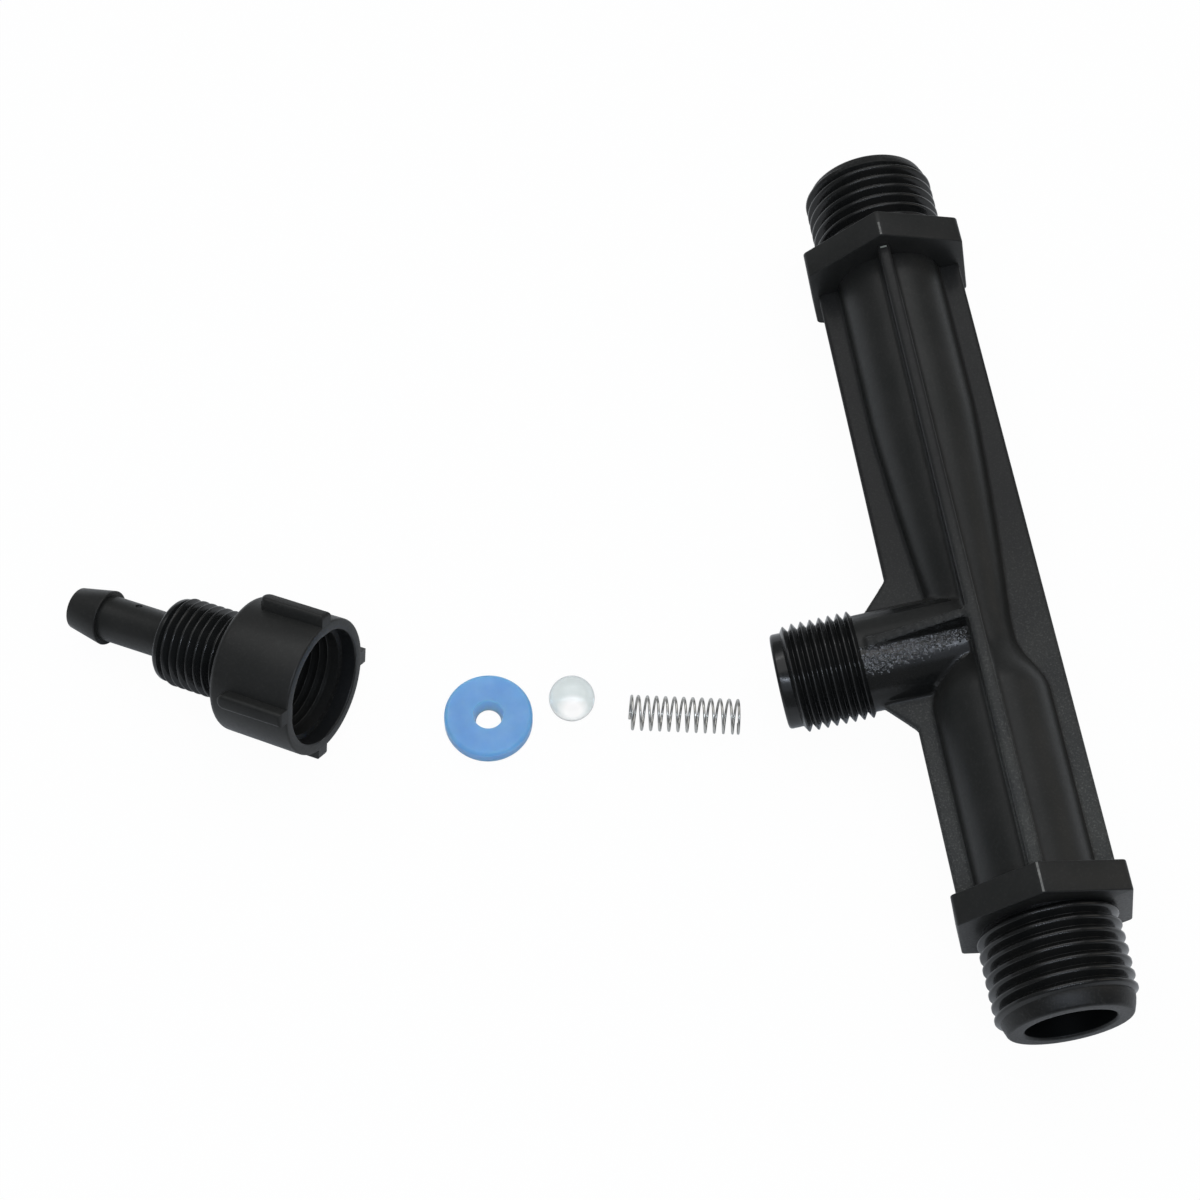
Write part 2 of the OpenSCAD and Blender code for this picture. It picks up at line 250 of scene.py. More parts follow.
def blackPolypropylene(name, finish):
    # glass-filled black polypropylene, injection moulded: near black and satin,
    # with the surface of its tool on it
    low, high = plastic["noise"]
    material, tree, surface = newMaterial(name)
    place = addNode(tree, "ShaderNodeTexCoord").outputs["Object"]
    surface.inputs["IOR"].default_value = plastic["ior"]
    surface.inputs["Specular IOR Level"].default_value = finish["specular"]
    # slow clouds where the melt cooled unevenly
    clouds = addNode(
        tree, "ShaderNodeTexNoise", {"Scale": 1 / (finish["cloud"] * mm), "Detail": 3.0, "Roughness": 0.55},
        {"Vector": place},
    )
    tone = addNode(tree, "ShaderNodeValToRGB", links={"Fac": clouds.outputs["Fac"]})
    tone.color_ramp.elements[0].position = low
    tone.color_ramp.elements[0].color = hexLinear(finish["dark"])
    tone.color_ramp.elements[1].position = high
    tone.color_ramp.elements[1].color = hexLinear(finish["light"])
    # spark-eroded grain of the tool, drawn a little coarse so that it shows
    grain = addNode(
        tree, "ShaderNodeTexNoise", {"Scale": 1 / (finish["grain"] * mm), "Detail": 2.0, "Roughness": 0.6},
        {"Vector": place},
    )
    # on a finish that fades, the grain's relief, the painted glint specks and the tone fall off towards the
    # far end: painted light, lighter near the port, darker at the far end
    along = addNode(tree, "ShaderNodeSeparateXYZ", links={"Vector": place})
    grainAndLightFalloff = addNode(
        tree, "ShaderNodeMapRange",
        {
            "From Min": plastic["falloffFrom"] * mm, "From Max": plastic["falloffTo"] * mm,
            "To Min": 1.0, "To Max": 1 - finish["grainAndLightFade"],
        },
        {"Value": along.outputs["Y"]},
    )
    # painted highlights: light specks in the colour where grains would catch the light
    mottle = addNode(
        tree, "ShaderNodeTexNoise", {"Scale": 1 / (finish["glintSize"] * mm), "Detail": 2.0, "Roughness": 0.7},
        {"Vector": place},
    )
    few, many = plastic["glintNoise"]
    dots = addNode(
        tree, "ShaderNodeMapRange",
        {"From Min": few, "From Max": many, "To Min": 0.0, "To Max": finish["paintedGlints"]},
        {"Value": mottle.outputs["Fac"]},
    )
    paintedGlints = addNode(
        tree, "ShaderNodeMath", links={0: dots.outputs["Result"], 1: grainAndLightFalloff.outputs["Result"]},
        operation="MULTIPLY",
    )
    # painted light: the colour goes from the finish's lighter tones near the port to the darker far-end tone
    body = addNode(
        tree, "ShaderNodeMix", {"A": hexLinear(plastic["farEndTone"])},
        {"Factor": grainAndLightFalloff.outputs["Result"], "B": tone.outputs["Color"]}, data_type="RGBA",
    )
    paintedLightMix = addNode(
        tree, "ShaderNodeMix", {"B": hexLinear(plastic["paintedGlintTone"])},
        {"Factor": paintedGlints.outputs["Value"], "A": body.outputs["Result"]}, data_type="RGBA",
    )
    tree.links.new(paintedLightMix.outputs["Result"], surface.inputs["Base Color"])
    gloss = addNode(
        tree, "ShaderNodeMapRange",
        {
            "From Min": low, "From Max": high,
            "To Min": finish["rough"] - plastic["smoother"], "To Max": finish["rough"] + plastic["rougher"],
        },
        {"Value": grain.outputs["Fac"]},
    )
    tree.links.new(gloss.outputs["Result"], surface.inputs["Roughness"])
    strength = addNode(
        tree, "ShaderNodeMath", {1: finish["bump"]}, {0: grainAndLightFalloff.outputs["Result"]},
        operation="MULTIPLY",
    )
    bump = addNode(
        tree, "ShaderNodeBump", {"Distance": finish["depth"] * mm},
        {"Strength": strength.outputs["Value"], "Height": grain.outputs["Fac"]},
    )
    tree.links.new(bump.outputs["Normal"], surface.inputs["Normal"])
    return material


# each finish: its two tones, sizes of clouds, grain and glint specks in mm, share of painted glint specks,
# gloss and relief, and the share by which tone, painted glints and relief fall off towards the far end
satinBlack = blackPolypropylene("SatinBlackPolypropylene", {
    "dark": "#1d1e1d", "light": "#242423", "cloud": 9, "grain": 0.45, "glintSize": 0.5, "paintedGlints": 0.02,
    "rough": 0.38, "bump": 0.16, "depth": 0.03, "specular": 0.24, "grainAndLightFade": 0,
})
# painted light: the grained tones are set light to lift the shade beside the port, and fall to the far-end
# tone
grainedBlack = blackPolypropylene("SparkErodedBlackPolypropylene", {
    "dark": "#303131", "light": "#393a38", "cloud": 6, "grain": 0.36, "glintSize": 0.3, "paintedGlints": 0.2,
    "rough": 0.40, "bump": 1.0, "depth": 0.10, "specular": 0.17, "grainAndLightFade": 0.85,
})
sparkBlack = blackPolypropylene("GlossGrainedBlackPolypropylene", {
    "dark": "#0e0f0f", "light": "#141515", "cloud": 5, "grain": 0.7, "glintSize": 0.35, "paintedGlints": 0.12,
    "rough": 0.08, "bump": 1.0, "depth": 0.38, "specular": 0.62, "grainAndLightFade": 0,
})
threadBlack = blackPolypropylene("PolishedBlackPolypropylene", {
    "dark": "#151616", "light": "#1b1c1c", "cloud": 8, "grain": 0.6, "glintSize": 1.0, "paintedGlints": 0.01,
    "rough": 0.20, "bump": 0.05, "depth": 0.02, "specular": 0.35, "grainAndLightFade": 0,
})
spigotBlack = blackPolypropylene("BrushedBlackPolypropylene", {
    "dark": "#131414", "light": "#1a1a19", "cloud": 5, "grain": 0.5, "glintSize": 0.4, "paintedGlints": 0.01,
    "rough": 0.20, "bump": 0.1, "depth": 0.03, "specular": 0.32, "grainAndLightFade": 0,
})
noseBlack = blackPolypropylene("WornBlackPolypropylene", {
    "dark": "#121313", "light": "#1a1a19", "cloud": 3, "grain": 0.4, "glintSize": 0.4, "paintedGlints": 0.05,
    "rough": 0.42, "bump": 0.5, "depth": 0.06, "specular": 0.24, "grainAndLightFade": 0,
})
# painted highlight: a light grey for the bright line along the flange's front corner
seamHighlightBlack = blackPolypropylene("PaintedHighlightBlackPolypropylene", {
    "dark": "#3a3b3a", "light": "#767672", "cloud": 0.9, "grain": 0.3, "glintSize": 0.35, "paintedGlints": 0.5,
    "rough": 0.40, "bump": 0.8, "depth": 0.08, "specular": 0.35, "grainAndLightFade": 0,
})
# painted highlight: a pale grey-green for the bright spot where the front fin meets the outlet flange
paleHighlightBlack = blackPolypropylene("PaintedHighlightPalePolypropylene", {
    "dark": "#6a6f69", "light": "#8c918a", "cloud": 0.9, "grain": 0.3, "glintSize": 0.35, "paintedGlints": 0.1,
    "rough": 0.45, "bump": 0.4, "depth": 0.05, "specular": 0.3, "grainAndLightFade": 0,
})
# painted shade: a darker finish for the shade inside the connector's mouth
mouthShadeBlack = blackPolypropylene("PaintedShadeMouthPolypropylene", {
    "dark": "#161717", "light": "#1c1d1e", "cloud": 6, "grain": 0.5, "glintSize": 0.6, "paintedGlints": 0.01,
    "rough": 0.36, "bump": 0.1, "depth": 0.03, "specular": 0.14, "grainAndLightFade": 0,
})
# painted shade: a near-black finish for the shade inside the spigots' bores
boreShadeBlack = blackPolypropylene("PaintedShadeBorePolypropylene", {
    "dark": "#060707", "light": "#090a0a", "cloud": 6, "grain": 0.5, "glintSize": 0.6, "paintedGlints": 0.0,
    "rough": 0.50, "bump": 0.1, "depth": 0.03, "specular": 0.05, "grainAndLightFade": 0,
})

# camera and light come first, fitted to the photograph

cameraSet = {
    "place": (-26.369, -156.494, 340.273),  # mm
    "look": (0.08911, 0.43605, -0.89550),
    "right": (0.98801, -0.15201, 0.02430),
    "lens": 72.34, "sensor": 36,
    "clip": (0.01, 20),  # m
}
bpy.ops.object.camera_add()
camera = bpy.context.object
camera.name = "PhotoCamera"
camera.data.lens = cameraSet["lens"]
camera.data.sensor_width = cameraSet["sensor"]
backAxis = -Vector(cameraSet["look"]).normalized()
sideAxis = Vector(cameraSet["right"])
sideAxis = (sideAxis - backAxis * sideAxis.dot(backAxis)).normalized()
upAxis = backAxis.cross(sideAxis)
turned = Matrix((sideAxis, upAxis, backAxis)).transposed().to_4x4()
camera.matrix_world = Matrix.Translation(Vector(cameraSet["place"]) * mm) @ turned
camera.data.clip_start, camera.data.clip_end = cameraSet["clip"]
bpy.context.scene.camera = camera

softboxes = {  # place and size in mm, power in watts
    "overheadBox": {"place": (0, 330, 760), "size": (1200, 800), "power": 3.35, "colour": "#ffffff"},
    "frontBox": {"place": (-20, -430, 620), "size": (900, 380), "power": 0.7, "colour": "#e4eeff"},
    "rightBox": {"place": (700, 60, 380), "size": (420, 420), "power": 0.4, "colour": "#fff3e4"},
    "nearTube": {"place": (-40, -260, 650), "size": (600, 30), "power": 1.5, "colour": "#e6f0ff"},
    "farTube": {"place": (0, 430, 620), "size": (600, 30), "power": 0.4, "colour": "#ffffff"},
}
for lampName, lamp in softboxes.items():
    bpy.ops.object.light_add(type="AREA")
    box = bpy.context.object
    box.name = lampName
    box.data.shape = "RECTANGLE"
    box.data.size = lamp["size"][0] * mm
    box.data.size_y = lamp["size"][1] * mm
    box.data.energy = lamp["power"]
    box.data.color = hexLinear(lamp["colour"])[:3]
    box.location = Vector(lamp["place"]) * mm
    box.rotation_euler = (-box.location).to_track_quat("-Z", "Y").to_euler()

roomSet = {"tone": "#f6f8fa", "strength": 0.24}
world = bpy.data.worlds.new("StudioRoom")
world.use_nodes = True
bpy.context.scene.world = world
roomTree = world.node_tree
room = roomTree.nodes["Background"]
room.inputs["Color"].default_value = hexLinear(roomSet["tone"])
room.inputs["Strength"].default_value = roomSet["strength"]
# the room gives a low even light, and shows plain white behind the table
backdrop = addNode(roomTree, "ShaderNodeBackground", {"Color": (1, 1, 1, 1), "Strength": 1.0})
roomRays = addNode(roomTree, "ShaderNodeLightPath")
roomMix = addNode(
    roomTree, "ShaderNodeMixShader",
    links={
        0: roomRays.outputs["Is Camera Ray"],
        1: room.outputs["Background"], 2: backdrop.outputs["Background"],
    },
)
roomTree.links.new(roomMix.outputs["Shader"], roomTree.nodes["World Output"].inputs["Surface"])
bpy.context.scene.view_settings.view_transform = "Standard"

# white table: it shows white to the camera, and keeps a faint shadow
tableSet = {"size": 6000, "drop": 0.02, "white": 0.97}
deselectAll()
bpy.ops.mesh.primitive_plane_add(size=tableSet["size"] * mm, location=(0, 0, -tableSet["drop"] * mm))
floor = bpy.context.object
floor.name = "WhiteTable"
floorPaint, floorTree, floorSurface = newMaterial("WhiteTablePaper")
floorSurface.inputs["Base Color"].default_value = hexLinear("#f2f3f3")
floorSurface.inputs["Roughness"].default_value = 0.8
floorSurface.inputs["Specular IOR Level"].default_value = 0.1
rays = addNode(floorTree, "ShaderNodeLightPath")
seen = addNode(
    floorTree, "ShaderNodeMath",
    links={0: rays.outputs["Is Camera Ray"], 1: rays.outputs["Is Transmission Ray"]}, operation="MAXIMUM",
)
share = addNode(
    floorTree, "ShaderNodeMath", {1: tableSet["white"]}, {0: seen.outputs["Value"]}, operation="MULTIPLY",
)
glow = addNode(floorTree, "ShaderNodeEmission", {"Color": (1, 1, 1, 1), "Strength": 1.0})
blend = addNode(
    floorTree, "ShaderNodeMixShader",
    links={0: share.outputs["Value"], 1: floorSurface.outputs["BSDF"], 2: glow.outputs["Emission"]},
)
floorTree.links.new(blend.outputs["Shader"], floorTree.nodes["Material Output"].inputs["Surface"])
floor.data.materials.append(floorPaint)
floor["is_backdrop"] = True
print("camera, light and table set")

# moulded tee: venturi tube, four fins, suction port with its webs; drawn with the water's run along Z

tee = {
    "inletRun": 40.5, "outletRun": 64.7, "inletEnd": 19.8, "overlap": 0.5,
    "inletTube": 8.75, "outletTube": 8.3, "waist": 5.65, "waistLen": 3,
    "inletFlare": 9.6, "inletSteps": 24, "outletFlare": 37, "outletSteps": 36, "belly": 0.4,
    "bore": 6.53, "throat": 2.4, "throatLen": 5, "nozzle": 9, "diffuser": 46,
    "finReach": 11.55, "finThick": 1.9, "neck": 7.5, "neckEnd": 17.8,
    "gussetHalf": 12.4, "gussetReach": 16.4, "gussetTip": 7,
    "ribThick": 1.4, "ribReach": 16.2, "ribRise": 0.3,
    "portBore": 4.36, "portShoulder": 9.5, "suctionHole": 2, "suctionStart": 0.5,
    "roll": 12.238,  # degrees, it leans on the port's thread
    "voxel": 0.34, "soften": 2, "softenBy": 0.5,
    "finish": {  # where the finishes change
        "tubeSkin": 0.12, "neckFrom": -1.2, "neckSkin": 0.3, "ribFrom": 5, "ribTilt": 0.6, "underFrom": -0.6,
        "sparkEdge": 7.2, "sparkSlope": 0.075, "ragged": 0.35, "raggedX": 5.3, "raggedZ": 4.7,
    },
}
axisPoint = Vector(mounts["inlet_thread"]["pos_m"])
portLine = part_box("injector_body")[0].y + (tee["inletRun"] + tee["inletEnd"]) * mm
teeMatrix = (
    Matrix.Translation((axisPoint.x, portLine, axisPoint.z))
    @ Matrix.Rotation(-math.radians(tee["roll"]), 4, "Y")
    @ Matrix.Rotation(-turn / 4, 4, "X")
)
portMatrix = Matrix.Rotation(-turn / 4, 4, "Y")  # the port's own Z runs along -X of the tee


def tubeRadius(height):
    half = tee["waistLen"] / 2
    if height < -half:
        u = min(1, (-height - half) / tee["inletFlare"])
        return tee["waist"] + (tee["inletTube"] - tee["waist"]) * (1 - math.cos(math.pi * u)) / 2
    u = min(1, max(0, height - half) / tee["outletFlare"])
    return tee["waist"] + (tee["outletTube"] - tee["waist"]) * u * (1 + tee["belly"] * (1 - u))


def makeTee():
    # it runs on a little way into both flanges
    low, high = -tee["inletRun"] - tee["overlap"], tee["outletRun"] + tee["overlap"]
    half = tee["waistLen"] / 2
    inSteps, outSteps = tee["inletSteps"], tee["outletSteps"]
    heights = [-half - tee["inletFlare"] * i / inSteps for i in range(inSteps, -1, -1)]
    heights += [half + tee["outletFlare"] * i / outSteps for i in range(outSteps + 1)]
    wall = [(tubeRadius(z), z) for z in heights]
    tube = turnedPiece("MouldedTee", [(0, low), (wall[0][0], low), *wall, (wall[-1][0], high), (0, high)])
    reach, thick = tee["finReach"], tee["finThick"] / 2
    finLine = ((-reach, low), (reach, low), (reach, high), (-reach, high))
    sideFins = plate("SideFins", [(x, -thick, z) for x, z in finLine], (0, 2 * thick, 0))
    frontFins = plate("FrontFins", [(-thick, y, z) for y, z in finLine], (2 * thick, 0, 0))
    neckLine = ((0, 0), (tee["neck"], 0), (tee["neck"], tee["neckEnd"]), (0, tee["neckEnd"]))
    neck = turnedPiece("PortNeck", neckLine)
    settle(neck, portMatrix)
    wide, far, tip = tee["gussetHalf"], tee["gussetReach"], tee["gussetTip"]
    gussetLine = ((0, -wide), (-reach, -wide), (-far, -tip), (-far, tip), (-reach, wide), (0, wide))
    gussets = plate("Gussets", [(x, -thick, z) for x, z in gussetLine], (0, 2 * thick, 0))
    far, end, ribThick = tee["ribReach"], tee["neck"] + tee["ribRise"], tee["ribThick"]
    ribLine = ((0, -reach), (0, reach), (-far, end), (-far, -end))
    ribs = plate("PortRibs", [(x, y, -ribThick / 2) for x, y in ribLine], (0, 0, ribThick))
    joinUp(tube, sideFins, frontFins, neck, gussets, ribs)
    # one skin over all of it, with the small roundings of a moulding
    applyModifier(tube, "REMESH", mode="VOXEL", voxel_size=tee["voxel"] * mm, adaptivity=0)
    applyModifier(tube, "SMOOTH", factor=tee["softenBy"], iterations=tee["soften"])
    print("tee skin:", len(tube.data.polygons), "faces")
    bore, throat, throatHalf = tee["bore"], tee["throat"], tee["throatLen"] / 2
    waterWay = turnedPiece("WaterWay", [
        (0, low - past), (bore, low - past), (bore, -throatHalf - tee["nozzle"]), (throat, -throatHalf),
        (throat, throatHalf), (bore, throatHalf + tee["diffuser"]), (bore, high + past), (0, high + past),
    ])
    cutAway(tube, waterWay)
    hole, start, shoulder = tee["suctionHole"], tee["suctionStart"], tee["portShoulder"]
    suctionWay = turnedPiece("SuctionWay", [
        (0, start), (hole, start), (hole, shoulder), (tee["portBore"], shoulder),
        (tee["portBore"], tee["neckEnd"] + past), (0, tee["neckEnd"] + past),
    ])
    settle(suctionWay, portMatrix)
    cutAway(tube, suctionWay)
    # satin tube and top of the neck, grained fins, coarse sparkle below the port's rib, and under that and on
    # the rib's walls a darker polished finish: its gloss is the plastic's, its darker tone is painted shade
    zone = tee["finish"]
    for finish in (satinBlack, grainedBlack, sparkBlack, spigotBlack):
        tube.data.materials.append(finish)
    for face in tube.data.polygons:
        centre = face.center / mm
        atPort = centre.x < zone["neckFrom"]
        onTube = math.hypot(centre.x, centre.y) < tubeRadius(centre.z) + zone["tubeSkin"]
        onNeck = atPort and abs(math.hypot(centre.y, centre.z) - tee["neck"]) < zone["neckSkin"]
        ribWall = atPort and abs(centre.y) > zone["ribFrom"] and abs(face.normal.z) > zone["ribTilt"]
        under = onNeck and centre.z < zone["underFrom"]
        ragged = zone["ragged"] * math.sin(zone["raggedX"] * centre.x) * math.cos(zone["raggedZ"] * centre.z)
        sparkling = under and abs(centre.y) > zone["sparkEdge"] + zone["sparkSlope"] * centre.x + ragged
        # painted shade: the rib's walls and the rest of the neck's near side take the darker polished finish
        paintedShadePolish = ribWall or under
        face.material_index = 2 if sparkling else 3 if paintedShadePolish else 0 if onTube or onNeck else 1
    return tube


moulding = makeTee()
smoothShade(moulding, 60)
settle(moulding, teeMatrix)
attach(moulding, "root")
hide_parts("injector_body")
print("moulded tee done")

# pipe ends: hexagon flange, spigot and pipe thread, drawn from the flange's inner face upwards

pipeEnd = {
    "flats": 25, "hexThick": 4.6, "cornerRound": 0.485, "rimRound": 0.22, "drill": 7.5,
    "parting": 0.3, "partingLow": 0.15, "partingDeep": 0.5, "partingIn": 0.06,
    "bore": 6.53, "core": 9.28, "spigotStart": 0.55, "noseStart": 16.5, "noseRound": 0.6, "edge": 0.5,
    "thread": {
        "root": 9.25, "crest": 10.33, "pitch": 1.85, "flat": 0.42, "soft": 0.16, "runIn": 0.12, "sunk": 0.6,
    },
    "inlet": {
        "start": 4.31, "turns": 7.5, "runOut": 0.4, "partingTop": 4.45,
        "nose": [(9.72, 17.2), (9.64, 17.8), (9.42, 18.6)], "noseEnd": 8.55, "length": 19.8,
    },
    "outlet": {
        "start": 4.96, "turns": 6.95, "runOut": 0.4, "partingTop": 2.4,
        "nose": [(9.9, 16.9), (9.82, 17.5), (9.6, 18.0)], "noseEnd": 8.9, "length": 18.8,
    },
}


def makePipeEnd(name, winding, matrix):
    across = pipeEnd["flats"] / math.cos(math.pi / 6)
    thick = pipeEnd["hexThick"]
    deselectAll()
    bpy.ops.mesh.primitive_cylinder_add(
        vertices=6, radius=across / 2 * mm, depth=thick * mm, location=(0, 0, thick / 2 * mm),
    )
    flange = bpy.context.object
    flange.name = name
    settle(flange, flange.matrix_world.copy())
    bevelEdges(flange, lambda start, end: abs(start.z - end.z) > near, pipeEnd["cornerRound"], 4)
    bevelEdges(flange, lambda start, end: abs(start.z - end.z) < near, pipeEnd["rimRound"], 3)
    # thin line on the front corner, where the two halves of the tool met, coloured light grey as a painted
    # highlight along the corner
    ending = pipeEnd[winding]
    line, reach = pipeEnd["parting"] / 2, across / 2 - pipeEnd["partingIn"]
    low, top = pipeEnd["partingLow"], ending["partingTop"]
    parting = plate(
        "PartingLine",
        [(-line, -reach, low), (line, -reach, low), (line, -reach, top), (-line, -reach, top)],
        (0, pipeEnd["partingDeep"], 0),
    )
    wide = pipeEnd["drill"]
    drill = turnedPiece("FlangeDrill", [(0, -past), (wide, -past), (wide, thick + past), (0, thick + past)])
    cutAway(flange, drill)
    for part in (flange, parting):
        smoothShade(part, 30)
    flange.data.materials.append(satinBlack)
    parting.data.materials.append(seamHighlightBlack)
    bore, core, start = pipeEnd["bore"], pipeEnd["core"], pipeEnd["spigotStart"]
    edge, nose, length = pipeEnd["edge"], pipeEnd["noseRound"], ending["length"]
    spigot = turnedPiece("Spigot", [
        (bore, start), (core, start), (core, pipeEnd["noseStart"]), *ending["nose"],
        *arc((ending["noseEnd"], length - nose), nose, 20, 90, 6),
        *arc((bore + edge, length - edge), edge, 90, 180), (bore, start),
    ], fineSteps)
    smoothShade(spigot, 40)
    # the bore takes the near-black, painted-shade finish
    for finish in (noseBlack, boreShadeBlack, spigotBlack):
        spigot.data.materials.append(finish)
    for face in spigot.data.polygons:
        inBore = math.hypot(face.center.x, face.center.y) < (bore + near) * mm
        onCore = face.center.z < pipeEnd["noseStart"] * mm
        face.material_index = 1 if inBore else 2 if onCore else 0
    ridge = threadRidge("PipeThread", {**pipeEnd["thread"], **ending})
    smoothShade(ridge, 45)
    ridge.data.materials.append(spigotBlack)
    joinUp(flange, parting, spigot, ridge)
    settle(flange, matrix)
    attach(flange, "root")
    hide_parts("injector_body")


# torn flash where the front fin meets the outlet flange, coloured pale grey-green as a painted highlight
flash = {"wide": 1.0, "long": 0.28, "from": 0.6, "deep": 0.4, "proud": 0.03}


def makeFlash():
    half, front = flash["wide"] / 2, -tee["finReach"] - flash["proud"]
    low, high = tee["outletRun"] - flash["from"], tee["outletRun"] - flash["from"] + flash["long"]
    scrap = plate(
        "TornFlash", [(-half, front, low), (half, front, low), (half, front, high), (-half, front, high)],
        (0, flash["deep"], 0),
    )
    scrap.data.materials.append(paleHighlightBlack)
    settle(scrap, teeMatrix)
    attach(scrap, "root")
    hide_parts("injector_body")


makeFlash()
inletTurn = Matrix.Rotation(turn / 2, 4, "Y")
makePipeEnd("InletEnd", "inlet", teeMatrix @ Matrix.Translation((0, 0, -tee["inletRun"] * mm)) @ inletTurn)
makePipeEnd("OutletEnd", "outlet", teeMatrix @ Matrix.Translation((0, 0, tee["outletRun"] * mm)))
print("pipe ends done")

# threaded end of the suction port, drawn along the port's own axis from the tube's axis outwards

portEnd = {
    "core": 7.28, "bore": 4.3, "start": 16.6, "threadEnd": 28.5,
    "nose": 7.3, "step": 0.1, "reach": 30.3, "edge": 0.5,
    "thread": {
        "root": 7.25, "crest": 8.3, "pitch": 1.411, "flat": 0.16, "soft": 0.09, "start": 16.89,
        "turns": 8.4, "runIn": 0.3, "runOut": 0.6, "sunk": 0.5,
    },
}


def makePortEnd():
    bore, core, nose = portEnd["bore"], portEnd["core"], portEnd["nose"]
    start, threadEnd, reach, edge = (portEnd[key] for key in ("start", "threadEnd", "reach", "edge"))
    spigot = turnedPiece("PortEnd", [
        (bore, start), (core, start), (core, threadEnd), (nose, threadEnd + portEnd["step"]),
        *arc((nose - edge, reach - edge), edge, 0, 90),
        *arc((bore + edge, reach - edge), edge, 90, 180), (bore, start),
    ], fineSteps)
    smoothShade(spigot, 40)
    spigot.data.materials.append(threadBlack)
    ridge = threadRidge("PortThread", portEnd["thread"])
    smoothShade(ridge, 45)
    ridge.data.materials.append(threadBlack)
    joinUp(spigot, ridge)
    settle(spigot, teeMatrix @ portMatrix)
    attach(spigot, "root")
    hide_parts("injector_body")


makePortEnd()
print("suction port done")

# suction connector: ribbed cap, hose nut thread, stem and barb, drawn with its mouth at height 0

connector = {
    "cap": 10.6, "capBack": 10.45, "capLen": 13.9, "backRound": 1.2, "rim": 0.3,
    "socket": 8.2, "socketDepth": 11.3, "mouth": 8.9, "mouthDepth": 2.4, "ledge": 0.25,
    "threadCore": 5.88, "collar": 6.5, "collarStart": 25.3, "collarSlope": 0.3,
    "threadEnd": 26.7, "lead": 0.8,
    "stem": 3.55, "stemRound": 0.4, "barbStart": 38.6, "barb": 4.3, "barbIn": 0.12, "barbRound": 0.15,
    "tip": 3.25, "tipRound": 0.18, "bore": 2, "boreRound": 0.25, "length": 44.5, "turn": -32.5, "tilt": 12.81,
    "gate": {"radius": 0.55, "side": (-0.766, 0.62), "height": -33.4},  # side in stem radii
    "ribs": 4, "ribWidth": 2.3, "ribHeight": 1.7, "ribLen": 9.95,
    "ribTurn": 55.9, "ribRound": 0.6, "ribIn": 0.02,
    "hoseThread": {
        "root": 5.85, "crest": 6.85, "pitch": 1.411, "flat": 0.2, "soft": 0.1, "start": -25.3,
        "turns": 8.3, "runIn": 0.35, "runOut": 0.1, "sunk": 0.4,
    },
    "capThread": {
        "root": 8.23, "crest": 8.0, "pitch": 1.411, "flat": 0.1, "soft": 0.06, "start": -10.4,
        "turns": 4.6, "runIn": 0.3, "runOut": 0.4, "sunk": 0.3,
    },
}


